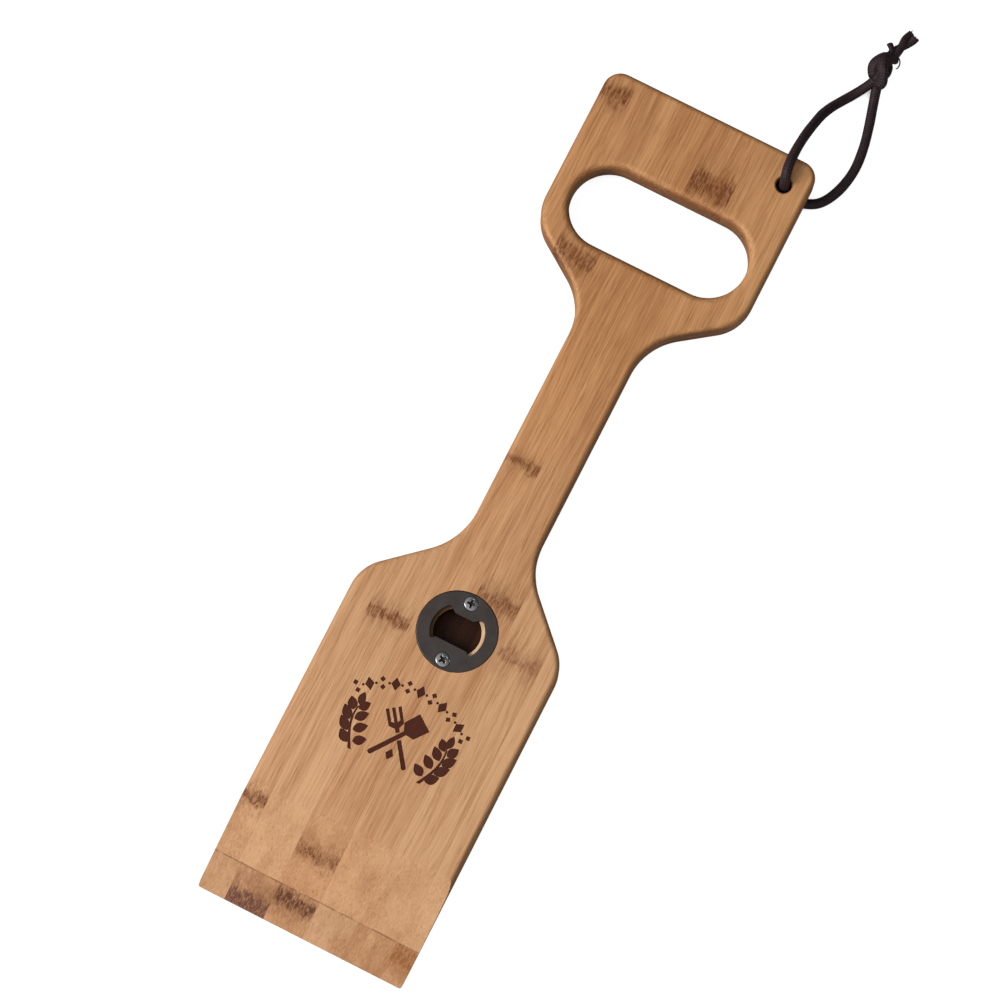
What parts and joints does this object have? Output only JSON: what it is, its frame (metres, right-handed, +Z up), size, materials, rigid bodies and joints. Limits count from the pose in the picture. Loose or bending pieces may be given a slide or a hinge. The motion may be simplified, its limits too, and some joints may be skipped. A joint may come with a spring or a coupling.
{
  "type": "grill spatula",
  "caption": "Laminated bamboo grill scraper spatula with a bevelled blade, a slotted handle, a round bottle opener insert and a knotted hanging cord.",
  "frame": {"origin": "middle of the board's footprint, on the surface that it lies on", "axes": "+Y along the board from the scraping edge to the handle, +Z up through the front face, +X across the blade to the side of the cord hole"},
  "size_m": [0.1312, 0.5385, 0.0314],
  "materials": {
    "bamboo_face": "light carbonised bamboo slats, sanded, thin oil finish",
    "bamboo_back": "light carbonised bamboo slats, sanded, thin oil finish",
    "opener_steel": "dark gunmetal coated steel, satin",
    "screw_steel": "bright plated steel",
    "waxed_cord": "dark plum-brown waxed cotton cord, slightly shiny"
  },
  "bodies": {
    "board": {"front_slat_1_blade": "bamboo_face", "front_slat_2_blade": "bamboo_face", "front_slat_3_shaft": "bamboo_face", "front_slat_4_shaft": "bamboo_face", "front_slat_5_blade": "bamboo_face", "front_slat_6_blade": "bamboo_face", "front_slat_1_handle": "bamboo_face", "front_slat_2_handle": "bamboo_face", "front_slat_5_handle": "bamboo_face", "front_slat_6_handle": "bamboo_face", "front_slat_2_grip": "bamboo_face", "front_slat_3_grip": "bamboo_face", "front_slat_4_grip": "bamboo_face", "front_slat_5_grip": "bamboo_face", "back_slat_1_blade": "bamboo_back", "back_slat_2_blade": "bamboo_back", "back_slat_3_shaft": "bamboo_back", "back_slat_4_shaft": "bamboo_back", "back_slat_5_blade": "bamboo_back", "back_slat_6_blade": "bamboo_back", "back_slat_1_handle": "bamboo_back", "back_slat_2_handle": "bamboo_back", "back_slat_5_handle": "bamboo_back", "back_slat_6_handle": "bamboo_back", "back_slat_2_grip": "bamboo_back", "back_slat_3_grip": "bamboo_back", "back_slat_4_grip": "bamboo_back", "back_slat_5_grip": "bamboo_back", "bottle_opener_plate": "opener_steel", "opener_screw_upper": "screw_steel", "opener_screw_lower": "screw_steel"},
    "lanyard": {"cord_loop": "waxed_cord", "cord_knot": "waxed_cord", "cord_tail_long": "waxed_cord", "cord_tail_short": "waxed_cord"}
  },
  "joints": [
    {"name": "lanyard_swing", "type": "hinge", "parent": "board", "child": "lanyard", "pos_m": [0.044, 0.20935, 0.01453], "axis": [0, -0.0127, 0.9999], "range_deg": [-30, 30]}
  ]
}
